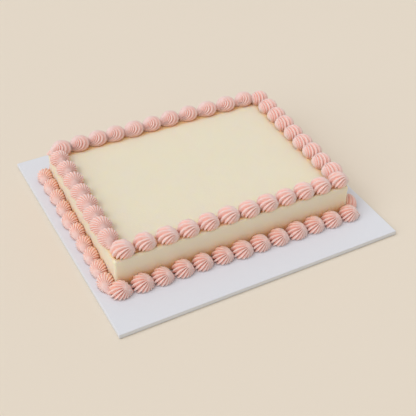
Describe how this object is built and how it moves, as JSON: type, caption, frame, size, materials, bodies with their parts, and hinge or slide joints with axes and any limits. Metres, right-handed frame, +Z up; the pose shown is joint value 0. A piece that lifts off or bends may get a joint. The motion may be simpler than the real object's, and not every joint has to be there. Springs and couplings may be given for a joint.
{
  "type": "sheet cake",
  "caption": "Rectangular uncut sheet cake in smooth cream icing on a white board, with pink piped shell borders round its top edge and its base.",
  "frame": {"origin": "middle of the board's underside, where the cake stands on a table", "axes": "+X along the board's long side to the right, +Y to the back, +Z up"},
  "size_m": [0.356, 0.337, 0.0634],
  "materials": {
    "board": "smooth white covering, satin",
    "icing": "hand smoothed cream buttercream, satin",
    "piping": "piped pink buttercream, satin"
  },
  "bodies": {
    "root": {"cake_board": "board", "cake": "icing", "top_border_front": "piping", "top_border_right": "piping", "top_border_back": "piping", "top_border_left": "piping", "base_border_front": "piping", "base_border_right": "piping", "base_border_back": "piping", "base_border_left": "piping"}
  },
  "joints": []
}
